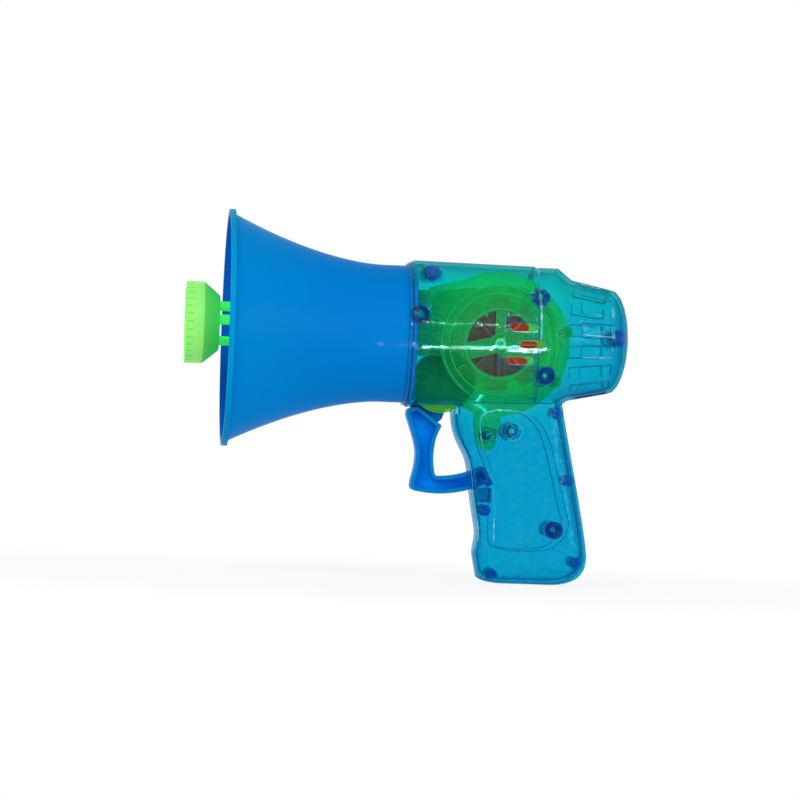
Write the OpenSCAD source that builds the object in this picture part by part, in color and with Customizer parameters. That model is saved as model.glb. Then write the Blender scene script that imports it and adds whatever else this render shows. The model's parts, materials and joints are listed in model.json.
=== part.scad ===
// Hand-held bubble blower in the form of a small trumpet with a pistol grip.
// A squeezed trigger turns a geared fan, which blows air down a tube to a dip ring.
// The bell's mouth is the plane x = 0, the bell's axis is z = 0 and the shell's seam is y = 0.
// The bell opens towards -X, and the photographed side is the -Y side.

/* [Bell] */
// Radius of the bell at its mouth
bell_mouth_r = 49.5; // [46:0.5:52]
// Step down from the barrel's surface to the bell's neck
neck_drop = 2.4; // [2.2:0.1:2.8]
// Length of the flared stretch
bell_flare_l = 66; // [60:1:68]
// Length of the straight neck, up to its end inside the barrel
bell_neck_l = 14; // [13.8:0.1:14.2]
// Wall of the bell
bell_wall = 1.7; // [1.2:0.1:2.2]
// Width of the band round the bell's mouth
rim_w = 2.4; // [1.6:0.2:4]
// Height of that band above the bell
rim_h = 0.8; // [0.4:0.1:1.2]
// Height of the flange that the barrel holds
flange_h = 0.9; // [0.6:0.1:1]
// Thickness of that flange
flange_w = 1.6; // [1.2:0.1:1.8]

/* [Dip head] */
// Outer radius of the dip ring
head_r = 17.4; // [16:0.2:19]
// Distance from the ring's front rim to the bell's mouth
head_reach = 17; // [16:0.5:20]
// Length of the ring's straight band
head_band_l = 7.5; // [6:0.5:9]
// Length of the cone behind the band
head_cone_l = 6.8; // [6:0.2:7.2]
// Wall of the dip head
head_wall = 1.5; // [1.2:0.1:1.8]
// Number of grooves round the ring's front edge
groove_count = 32; // [20:1:36]
// Length of a groove
groove_l = 3; // [2:0.5:3.5]
// Width of a groove
groove_w = 0.8; // [0.6:0.1:0.9]
// Depth of a groove
groove_d = 0.5; // [0.3:0.1:0.7]
// Width of a prong
prong_w = 3.8; // [3:0.2:4.6]
// Length of a prong, from the cone to its end collar
prong_l = 10.7; // [10:0.1:11]
// Length of the end collar
prong_collar_l = 4; // [3:0.5:5]

/* [Air tube] */
// Outer radius of the air tube
tube_r = 13; // [12.6:0.1:13.4]
// Wall of the air tube
tube_wall = 1.2; // [1:0.1:1.4]
// Height of the tube's axis above the bell's axis
tube_lift = 1.7; // [1:0.1:2.2]
// Distance from the bell's mouth to the tube's front end
tube_inset = 4; // [3:0.5:5]
// Length of the box at the tube's rear end
plenum_l = 9; // [8.5:0.1:9.4]
// Length of that box inside the bell's neck
plenum_in = 3; // [2.6:0.1:3.4]
// Wall of that box
plenum_wall = 1.4; // [1.2:0.1:1.8]
// Height of the box's top above the bell's axis
plenum_top = 18.8; // [18:0.2:19.4]
// Depth of the box's floor below the bell's axis
plenum_drop = 8.8; // [8.4:0.2:9]
// Reach of the box towards the far side
plenum_far = 11.2; // [10.8:0.2:12]

/* [Barrel] */
// Outer radius of the barrel
barrel_r = 31.6; // [31.4:0.1:32]
// Loss of radius from the barrel's front to its rear
barrel_taper = 0.7; // [0.4:0.1:0.8]
// Length of the barrel, from its front edge to the groove before the collar
barrel_l = 54.8; // [54.4:0.1:55.2]
// Wall of the shell
shell_wall = 2; // [1.6:0.1:2.2]
// Depth of the groove before the collar
collar_groove = 0.8; // [0.6:0.1:1]
// Length of the rear collar
collar_l = 9; // [8:0.5:9.5]
// Length of the slope from the collar to the knob
slope_l = 6; // [5:0.5:7]
// Length of the rear knob
knob_l = 17; // [16:0.5:18]
// Radius of the knob at its front
knob_r = 25.8; // [25:0.2:27]
// Radius of the knob at its rear
knob_end_r = 22.2; // [21:0.2:23]
// Length of the domed rear end
dome_l = 8; // [7:0.5:9]
// Number of recesses round the knob
recess_count = 16; // [10:2:18]
// Width of a recess
recess_w = 5.2; // [3:0.2:5.6]
// Depth of a recess
recess_d = 0.8; // [0.4:0.1:1]
// Length of an air vent
vent_l = 12; // [8:0.5:12.5]
// Height of an air vent
vent_h = 3.6; // [2.4:0.2:4]
// Height of the land round the vents
land_h = 0.4; // [0.2:0.1:0.6]

/* [Handle] */
// Height of the handle below the barrel's hollow
handle_h = 82; // [80:1:88]
// Depth of the handle from front to back
handle_d = 46; // [45:0.5:47]
// Width of the handle
handle_w = 28; // [26:0.5:30]
// Radius of the handle's long edges, seen from its end
handle_edge_r = 8; // [6:0.5:9]
// Depth of the rounded front of its section
handle_nose = 13; // [9:0.5:15]
// Depth of the rounded back of its section
handle_back = 9; // [7:0.5:12]
// Height of the grip panel above the handle's side
panel_h = 0.7; // [0.4:0.1:1]

/* [Blower] */
// Step down from the barrel's radius to the fan chamber's
chamber_inset = 6; // [5.8:0.1:6.2]
// Wall of the fan chamber
chamber_wall = 1.4; // [1.2:0.1:1.6]
// Depth of the fan chamber
chamber_d = 11.5; // [11:0.1:11.6]
// Step down from the barrel's radius to that of the flange round the chamber
rim_inset = 0.8; // [0.7:0.1:1.6]
// Thickness of the chamber's floor and cover
plate_t = 1.5; // [1.3:0.1:1.6]
// Radius of the air inlet
inlet_r = 14; // [13:0.5:15]
// Gap between the fan and the chamber's flat floor
fan_gap = 0.5; // [0.4:0.1:2]
// Number of paddles
paddle_count = 8; // [5:1:9]
// Width of a paddle's foot plate
paddle_w = 9; // [5:0.5:10]
// Height of a paddle
paddle_h = 8.2; // [6:0.2:8.4]
// Wall of a paddle
paddle_t = 1.2; // [0.8:0.1:1.6]
// Radius of the round bearing box at the trigger's pivot
lobe_r = 12.9; // [12:0.1:13]
// Depth of that bearing box
lobe_d = 8; // [7:0.5:9]

/* [Gears] */
// Tooth module of the trigger's sector
sector_module = 0.8; // [0.78:0.01:0.82]
// Teeth in the sector's full circle
sector_teeth = 40; // [39:1:40]
// Tooth module of the second stage
stage2_module = 0.7; // [0.68:0.01:0.71]
// Teeth of the first wheel
wheel1_teeth = 32; // [30:1:33]
// Tooth module of the third stage
stage3_module = 0.6; // [0.58:0.01:0.62]
// Teeth of the second wheel
wheel2_teeth = 30; // [28:1:31]
// Teeth of each pinion
pinion_teeth = 12; // [12:1:13]
// Play between meshing teeth
tooth_play = 0.16; // [0.1:0.02:0.24]
// Width of the sector and its pinion
sector_w = 3; // [2.6:0.1:3.1]
// Width of the other gears
gear_w = 2.5; // [2:0.1:2.6]
// Gap between neighbouring gear layers
layer_gap = 0.5; // [0.4:0.05:0.6]
// Radius of a gear's axle
axle_r = 1; // [0.8:0.05:1.2]
// Radius of the fan's shaft
shaft_r = 1.2; // [1:0.05:1.4]
// Thickness of the plate that carries the gears
gear_plate_t = 2; // [1.6:0.1:2.4]

/* [Trigger] */
// Distance from the trigger's pivot to the outside of its lower arm
trigger_reach = 47.3; // [46.8:0.1:47.4]
// Height of the lower arm's section
arm_h = 7.5; // [7:0.1:7.8]
// Width of the trigger where the finger pulls
trigger_w = 10; // [9:0.5:10.5]
// Width of the rim round the trigger's web
trigger_rim = 1.7; // [1.2:0.1:2]
// Radius of the pivot pin
pivot_r = 1.5; // [1.3:0.05:1.7]
// Wall of the trigger's hub
hub_wall = 1.7; // [1.4:0.1:1.8]

/* [Spring] */
// Wire diameter of the return spring
wire_d = 0.8; // [0.6:0.05:0.85]
// Turns of the return spring
spring_turns = 3; // [2:1:3]

/* [Fasteners] */
// Radius of a shell screw's shank
screw_r = 1.3; // [1.1:0.05:1.4]
// Radius of a shell screw's head
screw_head_r = 2.6; // [2.3:0.1:2.8]
// Height of a shell screw's head
screw_head_h = 1.8; // [1.4:0.1:2]
// Length of a shell screw's shank
screw_l = 14; // [12:0.5:15]
// Outer radius of a screw boss
boss_r = 3.5; // [3.3:0.1:3.7]
// Radius of a small screw's shank
small_screw_r = 1; // [0.9:0.05:1.1]
// Radius of a small screw's head
small_head_r = 2; // [1.8:0.1:2.1]
// Height of a small screw's head
small_head_h = 1.2; // [1:0.1:1.4]
// Radius of a locating peg
peg_r = 1.4; // [1.2:0.1:1.6]

/* [Fits] */
// Gap between the two halves of the shell
seam_gap = 0.1; // [0.06:0.02:0.2]
// Radial clearance of a turning pin
run_fit = 0.05; // [0.02:0.01:0.08]
// Clearance between fixed pieces
part_gap = 0.15; // [0.1:0.05:0.2]
// Clearance round a piece that swings
swing_gap = 0.4; // [0.3:0.05:0.5]

/* [Hidden] */
$fn = 96;

// One overrun serves every cut
over = 1;
fixed_fit = run_fit / 2;
flare_power = 1.68;
flare_steps = 22;
bell_neck_r = barrel_r - neck_drop;
chamber_r = barrel_r - chamber_inset;
rim_plate_r = barrel_r - rim_inset;

// Places along the bell's axis
neck_end = bell_flare_l + bell_neck_l;
barrel_x = neck_end - shell_wall * 2;
flange_x = barrel_x + shell_wall + part_gap;
collar_x = barrel_x + barrel_l;
slope_x = collar_x + shell_wall / 2 + collar_l;
knob_x = slope_x + slope_l;
dome_x = knob_x + knob_l;
plenum_x = neck_end - plenum_in;
plenum_end = plenum_x + plenum_l;
lip_r = bell_neck_r + part_gap;

// A place in the barrel or in the handle, as [x, z], from its shares of that piece's length and height
function in_barrel(s) = [barrel_x + s[0] * barrel_l, s[1] * barrel_r];
function in_handle(s) = handle_at + [s[0] * handle_d, -s[1] * handle_h];
handle_x_share = 0.394;
handle_top_share = 0.696;
handle_at = [barrel_x + handle_x_share * barrel_l, -handle_top_share * barrel_r];

// Centres of the pivot, the fan and the two gears, as [x, z]
pivot_shares = [0.292, -0.633];
fan_shares = [0.732, -0.085];
pivot = in_barrel(pivot_shares);
fan = in_barrel(fan_shares);
first_angle = 70;
sector_step = 360 / sector_teeth;
first_reach = sector_module * (sector_teeth + pinion_teeth) / 2;
second_reach = stage2_module * (wheel1_teeth + pinion_teeth) / 2;
fan_reach = stage3_module * (wheel2_teeth + pinion_teeth) / 2;
first = pivot + first_reach * heading(first_angle);
second = meet(first, second_reach, fan, fan_reach);

// Layers across the seam, counted from the far face of the housing's floor
layer1 = layer_gap;
layer2 = layer1 + sector_w + layer_gap;
layer3 = layer2 + gear_w + layer_gap;
plate_y = layer3 + gear_w + layer_gap;
plate_end = plate_y + gear_plate_t;
cover_y = plate_t + chamber_d;
cover_end = cover_y + plate_t;
chamber_drop = drop_at(barrel_r - barrel_taper - shell_wall, cover_end + plate_t / 2) - part_gap;
fan_r = chamber_drop + fan[1] - chamber_wall - fan_gap;
hub_r = pivot_r + run_fit + hub_wall;

// Places of the fastenings in the barrel, in the knob, in the handle and beside the trigger
barrel_boss_shares = [0.19, 0.832];
knob_boss_shares = [0.153, 0.044];
grip_boss_shares = [[0.969, 0.719], [0.557, 0.216]];
cover_screw_shares = [[1.022, 0.551], [1.077, -0.494]];
ear_shares = [[1.248, 0.1], [1.173, -0.566]];
foot_screw_shares = [[0.332, 0.242]];
post_shares = [[0.245, 0.34], [0.885, 0.2], [0.822, -0.46]];
key_shares = [0.088, 0.26];
mark_shares = [0.456, -0.456];
peg_shares = [[1.095, 0.46], [1.19, 0.885], [0.967, 0.112]];
low_peg_share = 0.411;
front_peg_shares = [0.326, 0.629];
vent_shares = [[0.883, 0.139], [0.954, -0.085], [0.865, -0.301]];
land_shares = [[0.718, -0.43], [0.977, -0.43], [1, -0.38], [1, 0.25], [0.977, 0.29], [0.758, 0.29],
    [0.735, 0.25], [0.735, -0.02], [0.695, -0.08], [0.695, -0.39]];
barrel_bosses = [in_barrel(barrel_boss_shares),
    [dome_x + knob_boss_shares[0] * knob_l, knob_boss_shares[1] * barrel_r]];
grip_bosses = [for (s = grip_boss_shares) in_handle(s)];
cover_screws_at = [for (s = cover_screw_shares) in_barrel(s)];
ears = [for (s = ear_shares) in_barrel(s)];
foot_screws_at = [for (s = foot_screw_shares) in_handle(s)];
posts = [for (s = post_shares) in_barrel(s)];
vents = [for (s = vent_shares) in_barrel(s)];
screw_seat_share = 0.19;
peg_l_share = 0.19;
pin_l_share = 0.09;
stop_shares = [0.335, -1.06];
stop_size_shares = [0.159, 0.127];

// Outline of the handle, as shares of its depth and height from the front of its top
handle_shares = [[0, 0], [0, 0.17], [0.05, 0.265], [0.157, 0.36], [0.19, 0.458], [0.217, 0.578],
    [0.259, 0.7], [0.278, 0.76], [0.248, 0.843], [0.228, 0.89], [0.24, 0.96], [0.36, 1.005],
    [0.88, 1.01], [1.13, 0.995], [1.27, 0.925], [1.29, 0.81], [1.02, 0.12], [0.985, 0]];
handle_lean_share = 0.2;
handle_front_share = -0.06;
panel_shares = [[0.226, 0.11], [0.259, 0.289], [0.37, 0.416], [0.407, 0.569], [0.4, 0.8],
    [0.46, 0.83], [0.73, 0.832], [0.98, 0.82], [1.12, 0.7], [1.06, 0.605], [0.904, 0.25],
    [0.776, 0.15], [0.635, 0.105]];
handle_outline = soften([for (s = handle_shares) in_handle(s)]);
panel_outline = soften([for (s = panel_shares) in_handle(s)]);

// Outlines of the trigger, as shares of its reach from its pivot
trigger_front_shares = [[-0.313, -0.252], [-0.245, -0.433], [-0.19, -0.613], [-0.2, -0.761],
    [-0.24, -0.92]];
trigger_back_shares = [[-0.03, -0.77], [-0.04, -0.655], [-0.022, -0.507], [0.008, -0.433],
    [0.03, -0.388], [0.008, -0.37], [-0.17, -0.234], [-0.2, -0.224]];
web_shares = [[-0.29, -0.27], [-0.18, -0.13], [-0.1, 0.04], [0.05, 0.2], [0.2, 0.14],
    [0.15, -0.02], [0.076, -0.211], [0.01, -0.4]];
arm_from = -103;
arm_to = -60;
arm_back = -91;
lug_from = -63.5;
lug_share = 1.034;
arc_steps = 8;

// Locating pegs; the front one keeps clear of the trigger's lower arm
peg_wall_r = peg_r + shell_wall / 2;
front_peg = in_handle(front_peg_shares);
clear_of_trigger = drop_at(trigger_reach * lug_share + peg_wall_r + swing_gap, front_peg[0] - pivot[0]);
pegs = concat([for (s = peg_shares) in_handle(s)],
    [in_handle([low_peg_share, 1]) + [0, shell_wall + peg_r]],
    [[front_peg[0], min(front_peg[1], pivot[1] - clear_of_trigger)]]);

// Outline of the plate that carries the gears, and of the housing's foot in the handle
gear_plate_shares = [[0.197, 0.45], [0.31, 0.633], [0.657, 0.68], [0.84, 0.57], [0.977, 0.253],
    [0.977, -0.253], [0.908, -0.6], [0.729, -0.6], [0.585, -0.6], [0.438, -0.823], [0.219, -0.823],
    [0.197, -0.55]];
foot_shares = [[0.186, 0.078], [0.207, 0.154], [0.214, 0.249], [0.282, 0.321], [0.385, 0.325],
    [0.447, 0.241], [0.454, 0.135], [0.509, 0.078]];

// Return spring: its legs leave the coil at these angles
spring_from = 315;
spring_sides = 6;
curl_rings = 8;
spring_end_turn = 15;
coil_r = hub_r + swing_gap + wire_d / 2;
coil_pitch = wire_d * 1.6;
leg_l = coil_r * 2;
coil_y = layer2 + wire_d;

// Teeth of 20 degree involute gears, a little short so that they clear
pressure = 20;
addendum_share = 0.85;
dedendum_share = 1.15;
flank_steps = 4;

function unit(v) = v / norm(v);
function heading(a) = [cos(a), sin(a)];
function bearing(p, q) = atan2(q[1] - p[1], q[0] - p[0]);
function arc(c, r, from, to, steps) = [for (i = [0:steps]) c + r * heading(from + (to - from) * i / steps)];
function drop_at(r, y) = sqrt(r * r - y * y);

// The upper of the two points at distance a from p and at distance b from q
function meet(p, a, q, b) =
    let (d = norm(q - p), along = (a * a - b * b + d * d) / (2 * d))
    p + along * unit(q - p) + sqrt(a * a - along * along) * heading(bearing(p, q) + 90);

// Every corner cut twice, which rounds an outline
function cut_corners(points) = [for (i = [0:len(points) - 1], s = [0.25, 0.75])
    points[i] * (1 - s) + points[(i + 1) % len(points)] * s];
function soften(points) = cut_corners(cut_corners(points));
function from_shares(shares, size, at = [0, 0]) = [for (s = shares) at + s * size];

// Outline of a gear with one tooth centred on the angle from
function involute(a) = tan(a) * 180 / PI - a;
function gear_points(size, teeth, from) =
    let (
        pitch = size * teeth / 2,
        base = pitch * cos(pressure),
        tip = pitch + size * addendum_share,
        root = pitch - size * dedendum_share,
        start = max(base, root),
        half = 90 / teeth - tooth_play / pitch * 45 / PI + involute(pressure),
        flank = [for (i = [0:flank_steps]) let (r = start + (tip - start) * i / flank_steps)
            [r, half - involute(acos(min(base / r, 1)))]],
        side = root < base ? concat([[root, half]], flank) : flank,
        last = len(side) - 1
    )
    [for (t = [0:teeth - 1], s = [-1, 1], i = [0:last])
        let (p = side[s < 0 ? i : last - i]) p[0] * heading(from + t * 360 / teeth + s * p[1])];

// A flat shape drawn in x and z, between two places on y
module slab(from, to) {
    translate([0, to, 0]) rotate([90, 0, 0]) linear_extrude(height = to - from) children();
}

// A round rod across the seam
module rod(at, r, from, to) {
    translate([at[0], to, at[1]]) rotate([90, 0, 0]) cylinder(r = r, h = to - from);
}

// A round collar or cone across the seam, with its radii at the two ends
module cone(at, r_from, r_to, from, to) {
    translate([at[0], from, at[1]]) rotate([-90, 0, 0]) cylinder(r1 = r_from, r2 = r_to, h = to - from);
}

// A profile of [radius, x] points turned about the bell's axis
module turned(points, sweep = 360) {
    rotate([0, 90, 0]) rotate_extrude(angle = sweep) polygon(points);
}

module disc(at, r) {
    translate(at) circle(r = r);
}

module box(low, high) {
    translate(low) cube(high - low);
}

// A vent's outline, drawn in by an inset and made shorter at both ends
function vent_points(at, inset = 0, shorter = 0) = concat(
    arc(at + [(vent_l - vent_h) / 2 - shorter, 0], vent_h / 2 - inset, -90, 90, arc_steps),
    arc(at - [(vent_l - vent_h) / 2 - shorter, 0], vent_h / 2 - inset, 90, 270, arc_steps));

function flare_r(x) =
    bell_neck_r + (bell_mouth_r - bell_neck_r) * pow(max(bell_flare_l - x, 0) / bell_flare_l, flare_power);

module bell() {
    outer = [for (i = [0:flare_steps]) let (x = rim_w + (bell_flare_l - rim_w) * i / flare_steps)
        [flare_r(x), x]];
    inner = [for (i = [flare_steps:-1:0]) let (x = bell_flare_l * i / flare_steps)
        [flare_r(x) - bell_wall, x]];
    flange_r = bell_neck_r + flange_h;
    color([0.02, 0.42, 0.8]) difference() {
        turned(concat(
            [[bell_mouth_r + rim_h, 0], [bell_mouth_r + rim_h, rim_w]],
            outer,
            [[bell_neck_r, flange_x], [flange_r, flange_x], [flange_r, flange_x + flange_w],
             [bell_neck_r, flange_x + flange_w], [bell_neck_r, neck_end],
             [bell_neck_r - bell_wall, neck_end]],
            inner));
        rod(in_barrel(key_shares), boss_r + swing_gap, -barrel_r - over, -bell_neck_r / 2);
    }
}

// The dip ring with its cone, prongs and end collar, which plugs into the air tube
module dip_head() {
    prong_r = tube_r - tube_wall - part_gap;
    prong_in = prong_r - head_wall;
    band_end = -head_reach + head_band_l;
    cone_end = band_end + head_cone_l;
    prong_end = cone_end + prong_l + prong_collar_l;
    color([0.45, 0.92, 0.4]) translate([0, 0, tube_lift]) difference() {
        union() {
            turned([[head_r, -head_reach], [head_r, band_end], [prong_r, cone_end],
                [prong_in, cone_end], [prong_in, cone_end - head_wall],
                [head_r - head_wall, band_end - head_wall / 2], [head_r - head_wall, -head_reach]]);
            intersection() {
                turned([[prong_r, cone_end - head_wall / 2], [prong_r, prong_end],
                    [prong_in, prong_end], [prong_in, cone_end - head_wall / 2]]);
                union() {
                    for (side = [0, 1], angle = [45, -8, -42]) {
                        mirror([0, side, 0]) rotate([angle, 0, 0])
                            box([cone_end - head_wall, -prong_r - over, -prong_w / 2],
                                [prong_end, 0, prong_w / 2]);
                    }
                    box([prong_end - prong_collar_l, -tube_r, -tube_r], [prong_end + over, tube_r, tube_r]);
                }
            }
        }
        for (i = [0:groove_count - 1]) {
            rotate([360 * i / groove_count, 0, 0])
                box([-head_reach - over, head_r - groove_d, -groove_w / 2],
                    [-head_reach + groove_l, head_r + over, groove_w / 2]);
        }
    }
}

// The tube inside the bell, with the box that takes the fan's air
module air_tube() {
    near = -cover_end;
    inner_r = tube_r - tube_wall;
    color([0.35, 0.85, 0.35]) difference() {
        union() {
            translate([0, 0, tube_lift]) turned([[0, tube_inset], [tube_r, tube_inset],
                [tube_r, plenum_x + plenum_wall / 2], [0, plenum_x + plenum_wall / 2]]);
            box([plenum_x, near, -plenum_drop], [plenum_end, plenum_far, plenum_top]);
        }
        translate([0, 0, tube_lift]) turned([[0, tube_inset - over], [inner_r, tube_inset - over],
            [inner_r, plenum_x + plenum_wall + over], [0, plenum_x + plenum_wall + over]]);
        box([plenum_x + plenum_wall, near + plenum_wall, plenum_wall - plenum_drop],
            [plenum_end - plenum_wall, plenum_far - plenum_wall, plenum_top - plenum_wall]);
        box([plenum_x + plenum_wall, near + plenum_wall, plenum_wall - plenum_drop],
            [plenum_end + over, -plate_t, plenum_top - plenum_wall]);
    }
}

// The fan's round chamber and the duct that leads forward from it
duct_x = plenum_end + part_gap;
module chamber_form(wall) {
    difference() {
        disc(fan, chamber_r - wall);
        translate([0, -barrel_r]) square([barrel_r * 6, barrel_r - chamber_drop + wall]);
    }
    polygon([[duct_x - (wall > 0 ? over : 0), wall + part_gap - plenum_drop],
        [fan[0] - chamber_r * 0.6, wall + part_gap - plenum_drop], fan,
        [fan[0] - chamber_r * 0.3, fan[1] + chamber_r * 0.94 - wall],
        [duct_x - (wall > 0 ? over : 0), plenum_top - part_gap - wall]]);
}

// The housing's floor: flange, duct, foot in the handle and bearing box at the pivot
module floor_form() {
    difference() {
        union() {
            disc(fan, rim_plate_r);
            polygon([[duct_x, -plenum_drop], [fan[0], -plenum_drop],
                [fan[0] - chamber_r * 0.57, fan[1] + chamber_r * 1.06], [duct_x, plenum_top + plate_t]]);
            disc(pivot, lobe_r);
            polygon(soften([for (s = foot_shares) in_handle(s)]));
        }
        translate([-over, -plenum_drop - swing_gap]) square([duct_x + over, plenum_top * 3]);
        translate([-over, -barrel_r]) square([pivot[0] - lobe_r + over, barrel_r * 2]);
    }
}

module blower_housing() {
    color([0.45, 0.9, 0.25]) difference() {
        union() {
            slab(-plate_t, 0) floor_form();
            slab(-cover_y, -plate_t) difference() {
                chamber_form(0);
                chamber_form(chamber_wall);
            }
            difference() {
                slab(-lobe_d, -plate_t) difference() {
                    disc(pivot, lobe_r);
                    disc(fan, chamber_r - chamber_wall / 2);
                    translate([-over, -plenum_drop + chamber_wall / 2]) square([fan[0], plenum_top]);
                    translate([-over, -plenum_drop - swing_gap]) square([duct_x + over, plenum_top]);
                }
                slab(chamber_wall - lobe_d, -plate_t) difference() {
                    disc(pivot, lobe_r - chamber_wall);
                    disc(fan, chamber_r + chamber_wall / 2);
                    translate([-over, -plenum_drop - chamber_wall]) square([fan[0], plenum_top]);
                }
            }
            rod(pivot, hub_r, -lobe_d, 0);
            for (p = posts) rod(p, small_head_r, -plate_t, plate_y - part_gap);
            rod(first, axle_r * 1.8, -plate_t, layer1 - part_gap);
            rod(second, axle_r * 1.8, -plate_t, layer2 - part_gap);
        }
        rod(fan, shaft_r * 2, -plate_t - over, over);
        for (p = [first, second]) rod(p, axle_r + fixed_fit, -plate_t - over, layer2 + over);
        rod(pivot, pivot_r + fixed_fit, chamber_wall - lobe_d, over);
        for (p = ears) rod(p, small_screw_r + part_gap, -plate_t - over, over);
        for (p = foot_screws_at) rod(p, small_screw_r + part_gap, -plate_t - over, over);
        for (p = posts) rod(p, small_screw_r + fixed_fit, over, plate_y + over);
    }
}

// The chamber's cover, with the air inlet and the bracket of the fan's bearing
module blower_cover() {
    hub_from = -cover_end - plate_t;
    hub_to = plate_t / 3 - cover_y;
    color([0.5, 0.92, 0.3]) difference() {
        union() {
            slab(-cover_end, -cover_y - part_gap / 3) difference() {
                union() {
                    chamber_form(0);
                    for (p = cover_screws_at) disc(p, boss_r + plate_t / 2);
                    for (p = ears) {
                        disc(p, small_head_r + plate_t / 3);
                        translate(fan) rotate(bearing(fan, p)) translate([0, -small_head_r])
                            square([norm(p - fan), small_head_r * 2]);
                    }
                }
                difference() {
                    disc(fan, inlet_r);
                    translate(fan - [paddle_t * 1.75, 0]) square([paddle_t * 3.5, inlet_r]);
                    translate(fan - [0, inlet_r * 0.42]) square([inlet_r, inlet_r * 0.9]);
                    translate(fan) rotate(195) translate([0, -inlet_r * 0.25])
                        square([inlet_r, inlet_r * 0.5]);
                }
                for (p = vents) polygon(vent_points(p, part_gap * 2, vent_h * 0.55));
            }
            slab(-cover_end - plate_t / 2, -cover_end) difference() {
                disc(fan, chamber_r);
                disc(fan, chamber_r - chamber_wall);
                translate([0, fan[1]]) square([fan[0], chamber_r]);
                translate([0, -barrel_r]) square([barrel_r * 6, barrel_r - chamber_drop * 0.9]);
                for (p = cover_screws_at) disc(p, boss_r + part_gap);
            }
            rod(fan, shaft_r * 3.6, hub_from, hub_to);
            rod(in_barrel(mark_shares), small_head_r, -cover_end - plate_t / 2, -cover_end);
            for (p = ears)
                rod(p, small_head_r + plate_t / 4, -cover_end, -plate_t - part_gap);
        }
        rod(fan, shaft_r * 1.9 + fixed_fit, hub_from - over, hub_to + over);
        for (p = cover_screws_at) {
            rod(p, small_screw_r + part_gap, -cover_end - over, over - cover_y);
            cone(p, small_screw_r + part_gap, small_head_r + part_gap,
                -cover_y - small_head_h, -cover_y);
        }
        for (p = ears)
            rod(p, small_screw_r + fixed_fit, small_screw_r * 2 - cover_end, over);
    }
}

module impeller() {
    foot_to = -plate_t - layer_gap;
    foot_from = foot_to - paddle_t;
    color([0.85, 0.12, 0.1]) difference() {
        union() {
            slab(foot_from, foot_to) intersection() {
                disc(fan, fan_r);
                union() {
                    disc(fan, fan_r / 2);
                    for (i = [0:paddle_count - 1])
                        translate(fan) rotate(360 * i / paddle_count)
                            translate([0, -paddle_w / 2]) square([fan_r, paddle_w]);
                }
            }
            slab(foot_from - paddle_h, foot_from) intersection() {
                disc(fan, fan_r);
                for (i = [0:paddle_count - 1])
                    translate(fan) rotate(360 * i / paddle_count)
                        translate([shaft_r * 2, -paddle_t / 2]) square([fan_r, paddle_t]);
            }
            rod(fan, shaft_r * 3, foot_from - paddle_h, foot_to);
        }
        rod(fan, shaft_r + fixed_fit, -cover_end, over);
    }
}

module fan_shaft() {
    color("silver") rod(fan, shaft_r, -cover_end - plate_t, plate_end - part_gap);
}

module fan_bushes() {
    color([0.72, 0.58, 0.3]) difference() {
        union() {
            rod(fan, shaft_r * 1.9, -cover_end - plate_t, plate_t / 3 - cover_y);
            rod(fan, shaft_r * 1.9, plate_y, plate_end);
        }
        rod(fan, shaft_r + run_fit, -cover_end - plate_t - over, plate_end + over);
    }
}

module gear(size, teeth, at, from_angle, from, to) {
    slab(from, to) translate(at) polygon(gear_points(size, teeth, from_angle));
}

module fan_pinion() {
    color([0.92, 0.9, 0.84]) difference() {
        gear(stage3_module, pinion_teeth, fan, bearing(fan, second) + 180 / pinion_teeth,
            layer3, layer3 + gear_w);
        rod(fan, shaft_r + fixed_fit, layer3 - over, plate_y + over);
    }
}

// A wheel and a pinion in one piece, with round holes in the wheel's web
module double_gear(at, pinion_size, pinion_from, pinion_y, wheel_size, wheel_teeth, wheel_from, wheel_y) {
    wheel_r = wheel_size * wheel_teeth / 2;
    difference() {
        union() {
            gear(pinion_size, pinion_teeth, at, pinion_from, pinion_y, wheel_y);
            gear(wheel_size, wheel_teeth, at, wheel_from, wheel_y, wheel_y + gear_w);
        }
        rod(at, axle_r + run_fit, pinion_y - over, wheel_y + gear_w + over);
        for (a = [0:72:288])
            rod(at + wheel_r * 0.66 * heading(a), wheel_r * 0.16, wheel_y - over, wheel_y + gear_w + over);
    }
}

module first_gear() {
    color([0.95, 0.8, 0.2])
        double_gear(first, sector_module, first_angle + 180 + 180 / pinion_teeth, layer1,
            stage2_module, wheel1_teeth, bearing(first, second), layer2);
}

module second_gear() {
    color([0.9, 0.9, 0.88])
        double_gear(second, stage2_module, bearing(second, first) + 180 / pinion_teeth, layer2,
            stage3_module, wheel2_teeth, bearing(second, fan), layer3);
}

module gear_axles() {
    color("silver") for (p = [first, second]) rod(p, axle_r, -plate_t, plate_end - part_gap);
}

module gear_plate() {
    color([0.5, 0.85, 0.35]) difference() {
        union() {
            slab(plate_y, plate_end) polygon(soften([for (s = gear_plate_shares) in_barrel(s)]));
            rod(spring_hold, wire_d, plate_y - gear_w, plate_y);
        }
        for (p = [first, second]) rod(p, axle_r + fixed_fit, plate_y - over, plate_end + over);
        rod(pivot, pivot_r + fixed_fit, plate_y - over, plate_end + over);
        rod(fan, shaft_r * 1.9 + fixed_fit, plate_y - over, plate_end + over);
        for (p = posts) rod(p, small_screw_r + part_gap, plate_y - over, plate_end + over);
    }
}

trigger_outline = concat(
    from_shares(trigger_front_shares, trigger_reach, pivot),
    arc(pivot, trigger_reach, arm_from, arm_to, arc_steps),
    arc(pivot, trigger_reach - arm_h, arm_to, arm_back, arc_steps),
    from_shares(trigger_back_shares, trigger_reach, pivot));

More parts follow.
